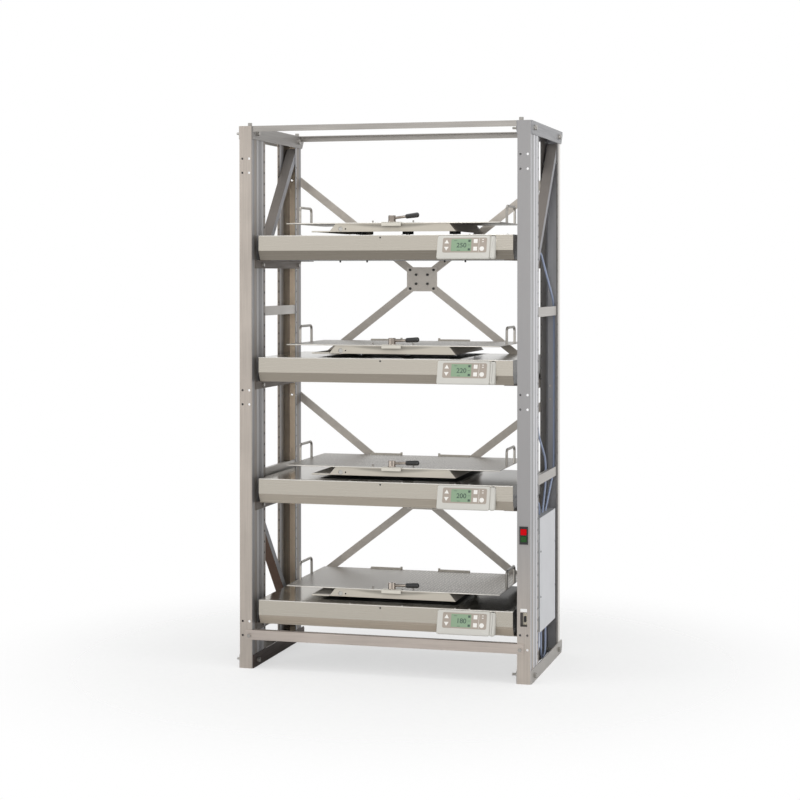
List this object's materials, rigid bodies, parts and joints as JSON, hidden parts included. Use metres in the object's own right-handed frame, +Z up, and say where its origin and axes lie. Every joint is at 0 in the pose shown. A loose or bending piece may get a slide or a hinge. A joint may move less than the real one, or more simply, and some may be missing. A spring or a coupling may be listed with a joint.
{
  "type": "rack-mounted shaker",
  "caption": "Steel rack of orbital shakers, one above the other, each with a slide-out tray, lock lever and tilted console, with a power switch and socket on the front upright.",
  "frame": {"origin": "middle of the footprint on the floor", "axes": "+X to the right seen from the front, +Y to the rear, +Z up"},
  "size_m": [1.163, 0.64, 2.092],
  "materials": {
    "frame_steel": "brushed stainless",
    "rail_steel": "brushed stainless",
    "brace_steel": "mill finish stainless",
    "bolt_zinc": "bright",
    "cabinet_paint": "satin paint",
    "cover_paint": "satin paint",
    "cable_jacket": "smooth jacket",
    "black_plastic": "satin",
    "red_plastic": "gloss",
    "green_plastic": "gloss",
    "socket_metal": "satin",
    "pan_steel": "mill finish",
    "motor_casting": "painted",
    "membrane": "printed film",
    "deck_steel": "brushed stainless",
    "console_plastic": "satin moulding",
    "crank_steel": "machined",
    "carrier_paint": "cream powder coat",
    "tray_steel": "fine perforated stainless",
    "lever_steel": "turned, with a black grip"
  },
  "bodies": {
    "rack": {"front_left_upright": "frame_steel", "front_right_upright": "frame_steel", "rear_left_upright": "frame_steel", "rear_right_upright": "frame_steel", "top_plates": "rail_steel", "foot_plates": "rail_steel", "front_top_rail": "rail_steel", "rear_top_rail": "rail_steel", "front_kick_rail": "rail_steel", "side_crossbars": "rail_steel", "side_diagonals": "brace_steel", "rear_brace_arms": "rail_steel", "gusset_plates": "rail_steel", "frame_bolts": "bolt_zinc", "gusset_bolts": "bolt_zinc", "support_rails": "rail_steel", "electrics_cabinet": "cabinet_paint", "cabinet_cover": "cover_paint", "side_cables": "cable_jacket", "switch_block": "black_plastic", "socket_insert": "socket_metal", "base_pans": "pan_steel", "drive_motors": "motor_casting", "crank_bearings": "pan_steel", "display_panels": "membrane", "deck_cover_1": "deck_steel", "deck_cover_2": "deck_steel", "deck_cover_3": "deck_steel", "deck_cover_4": "deck_steel", "console_1": "console_plastic", "console_2": "console_plastic", "console_3": "console_plastic", "console_4": "console_plastic"},
    "drive_rotor_1": {"drive_rotor_1": "crank_steel"},
    "left_idler_1": {"left_idler_1": "crank_steel"},
    "right_idler_1": {"right_idler_1": "crank_steel"},
    "carrier_1": {"carrier_1": "carrier_paint"},
    "tray_1": {"tray_1": "tray_steel"},
    "lock_lever_1": {"lock_lever_1": "lever_steel"},
    "drive_rotor_2": {"drive_rotor_2": "crank_steel"},
    "left_idler_2": {"left_idler_2": "crank_steel"},
    "right_idler_2": {"right_idler_2": "crank_steel"},
    "carrier_2": {"carrier_2": "carrier_paint"},
    "tray_2": {"tray_2": "tray_steel"},
    "lock_lever_2": {"lock_lever_2": "lever_steel"},
    "drive_rotor_3": {"drive_rotor_3": "crank_steel"},
    "left_idler_3": {"left_idler_3": "crank_steel"},
    "right_idler_3": {"right_idler_3": "crank_steel"},
    "carrier_3": {"carrier_3": "carrier_paint"},
    "tray_3": {"tray_3": "tray_steel"},
    "lock_lever_3": {"lock_lever_3": "lever_steel"},
    "drive_rotor_4": {"drive_rotor_4": "crank_steel"},
    "left_idler_4": {"left_idler_4": "crank_steel"},
    "right_idler_4": {"right_idler_4": "crank_steel"},
    "carrier_4": {"carrier_4": "carrier_paint"},
    "tray_4": {"tray_4": "tray_steel"},
    "lock_lever_4": {"lock_lever_4": "lever_steel"},
    "stop_button": {"stop_button": "red_plastic"},
    "start_button": {"start_button": "green_plastic"}
  },
  "joints": [
    {"name": "orbit_1", "type": "hinge", "parent": "rack", "child": "drive_rotor_1", "pos_m": [0, 0.022, 0.262], "axis": [0, 0, 1], "continuous": true},
    {"name": "carrier_turn_1", "type": "hinge", "parent": "drive_rotor_1", "child": "carrier_1", "pos_m": [0.0125, 0.022, 0.262], "axis": [0, 0, 1], "continuous": true},
    {"name": "left_idler_turn_1", "type": "hinge", "parent": "rack", "child": "left_idler_1", "pos_m": [-0.19, 0.022, 0.262], "axis": [0, 0, 1], "continuous": true},
    {"name": "right_idler_turn_1", "type": "hinge", "parent": "rack", "child": "right_idler_1", "pos_m": [0.19, 0.022, 0.262], "axis": [0, 0, 1], "continuous": true},
    {"name": "tray_slide_1", "type": "slide", "parent": "carrier_1", "child": "tray_1", "axis": [0, -1, 0], "range_m": [0, 0.4]},
    {"name": "lever_turn_1", "type": "hinge", "parent": "tray_1", "child": "lock_lever_1", "pos_m": [0.0125, -0.214, 0.313], "axis": [0, 0, 1], "range_deg": [-90, 0]},
    {"name": "orbit_2", "type": "hinge", "parent": "rack", "child": "drive_rotor_2", "pos_m": [0, 0.022, 0.728], "axis": [0, 0, 1], "continuous": true},
    {"name": "carrier_turn_2", "type": "hinge", "parent": "drive_rotor_2", "child": "carrier_2", "pos_m": [0.0125, 0.022, 0.728], "axis": [0, 0, 1], "continuous": true},
    {"name": "left_idler_turn_2", "type": "hinge", "parent": "rack", "child": "left_idler_2", "pos_m": [-0.19, 0.022, 0.728], "axis": [0, 0, 1], "continuous": true},
    {"name": "right_idler_turn_2", "type": "hinge", "parent": "rack", "child": "right_idler_2", "pos_m": [0.19, 0.022, 0.728], "axis": [0, 0, 1], "continuous": true},
    {"name": "tray_slide_2", "type": "slide", "parent": "carrier_2", "child": "tray_2", "axis": [0, -1, 0], "range_m": [0, 0.4]},
    {"name": "lever_turn_2", "type": "hinge", "parent": "tray_2", "child": "lock_lever_2", "pos_m": [0.0125, -0.214, 0.779], "axis": [0, 0, 1], "range_deg": [-90, 0]},
    {"name": "orbit_3", "type": "hinge", "parent": "rack", "child": "drive_rotor_3", "pos_m": [0, 0.022, 1.194], "axis": [0, 0, 1], "continuous": true},
    {"name": "carrier_turn_3", "type": "hinge", "parent": "drive_rotor_3", "child": "carrier_3", "pos_m": [0.0125, 0.022, 1.194], "axis": [0, 0, 1], "continuous": true},
    {"name": "left_idler_turn_3", "type": "hinge", "parent": "rack", "child": "left_idler_3", "pos_m": [-0.19, 0.022, 1.194], "axis": [0, 0, 1], "continuous": true},
    {"name": "right_idler_turn_3", "type": "hinge", "parent": "rack", "child": "right_idler_3", "pos_m": [0.19, 0.022, 1.194], "axis": [0, 0, 1], "continuous": true},
    {"name": "tray_slide_3", "type": "slide", "parent": "carrier_3", "child": "tray_3", "axis": [0, -1, 0], "range_m": [0, 0.4]},
    {"name": "lever_turn_3", "type": "hinge", "parent": "tray_3", "child": "lock_lever_3", "pos_m": [0.0125, -0.214, 1.245], "axis": [0, 0, 1], "range_deg": [-90, 0]},
    {"name": "orbit_4", "type": "hinge", "parent": "rack", "child": "drive_rotor_4", "pos_m": [0, 0.022, 1.66], "axis": [0, 0, 1], "continuous": true},
    {"name": "carrier_turn_4", "type": "hinge", "parent": "drive_rotor_4", "child": "carrier_4", "pos_m": [0.0125, 0.022, 1.66], "axis": [0, 0, 1], "continuous": true},
    {"name": "left_idler_turn_4", "type": "hinge", "parent": "rack", "child": "left_idler_4", "pos_m": [-0.19, 0.022, 1.66], "axis": [0, 0, 1], "continuous": true},
    {"name": "right_idler_turn_4", "type": "hinge", "parent": "rack", "child": "right_idler_4", "pos_m": [0.19, 0.022, 1.66], "axis": [0, 0, 1], "continuous": true},
    {"name": "tray_slide_4", "type": "slide", "parent": "carrier_4", "child": "tray_4", "axis": [0, -1, 0], "range_m": [0, 0.4]},
    {"name": "lever_turn_4", "type": "hinge", "parent": "tray_4", "child": "lock_lever_4", "pos_m": [0.0125, -0.214, 1.711], "axis": [0, 0, 1], "range_deg": [-90, 0]},
    {"name": "stop_press", "type": "slide", "parent": "rack", "child": "stop_button", "axis": [0, 1, 0], "range_m": [0, 0.003], "stiffness_N_per_m": 400},
    {"name": "start_press", "type": "slide", "parent": "rack", "child": "start_button", "axis": [0, 1, 0], "range_m": [0, 0.003], "stiffness_N_per_m": 400}
  ],
  "couplings": [
    {"joint": "carrier_turn_1", "follows": "orbit_1", "ratio": -1},
    {"joint": "left_idler_turn_1", "follows": "orbit_1", "ratio": 1},
    {"joint": "right_idler_turn_1", "follows": "orbit_1", "ratio": 1},
    {"joint": "carrier_turn_2", "follows": "orbit_2", "ratio": -1},
    {"joint": "left_idler_turn_2", "follows": "orbit_2", "ratio": 1},
    {"joint": "right_idler_turn_2", "follows": "orbit_2", "ratio": 1},
    {"joint": "carrier_turn_3", "follows": "orbit_3", "ratio": -1},
    {"joint": "left_idler_turn_3", "follows": "orbit_3", "ratio": 1},
    {"joint": "right_idler_turn_3", "follows": "orbit_3", "ratio": 1},
    {"joint": "carrier_turn_4", "follows": "orbit_4", "ratio": -1},
    {"joint": "left_idler_turn_4", "follows": "orbit_4", "ratio": 1},
    {"joint": "right_idler_turn_4", "follows": "orbit_4", "ratio": 1}
  ]
}
